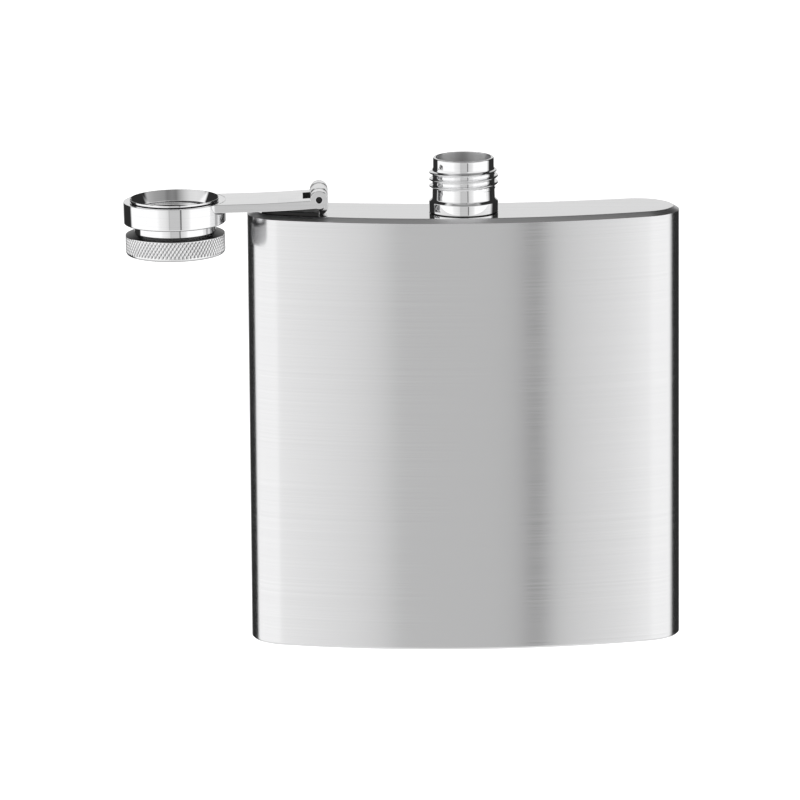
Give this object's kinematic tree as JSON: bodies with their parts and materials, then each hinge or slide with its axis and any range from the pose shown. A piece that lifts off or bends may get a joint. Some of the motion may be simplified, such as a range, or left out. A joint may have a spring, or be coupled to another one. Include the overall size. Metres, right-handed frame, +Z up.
{
  "type": "hip flask",
  "caption": "Curved pocket flask in brushed steel, with a threaded pouring neck and a knurled screw cap held captive in a ring on a hinged arm.",
  "frame": {"origin": "on the neck's axis, in the plane of the base that the flask stands on", "axes": "+Z up along the neck, +X across the width away from the hinge, -Y towards the convex front, +Y towards the hollow back"},
  "size_m": [0.1213, 0.0254, 0.108],
  "materials": {
    "brushed_wall": "fine horizontal brushing",
    "polished_plate": "near-mirror polish",
    "bright_fittings": "polished",
    "dark_pin": "dark oiled steel",
    "seal": "matt"
  },
  "bodies": {
    "flask": {"body_sleeve": "brushed_wall", "top_plate": "polished_plate", "base_plate": "brushed_wall", "neck": "bright_fittings", "hinge_bracket": "bright_fittings"},
    "arm": {"cap_arm": "bright_fittings", "cap_ring": "bright_fittings", "hinge_pin": "dark_pin"},
    "liner": {"cap_liner": "seal"},
    "cap": {"cap_skirt": "bright_fittings", "cap_knob": "bright_fittings"}
  },
  "joints": [
    {"name": "arm_hinge", "type": "hinge", "parent": "flask", "child": "arm", "pos_m": [-0.0315, 0, 0.1], "axis": [0, 1, 0], "range_deg": [0, 180.8]},
    {"name": "cap_float", "type": "slide", "parent": "arm", "child": "liner", "axis": [-0.014, 0, 0.9999], "range_m": [0, 0.00135]},
    {"name": "cap_spin", "type": "hinge", "parent": "liner", "child": "cap", "pos_m": [-0.06299, 0, 0.09901], "axis": [-0.014, 0, 0.9999], "continuous": true}
  ]
}
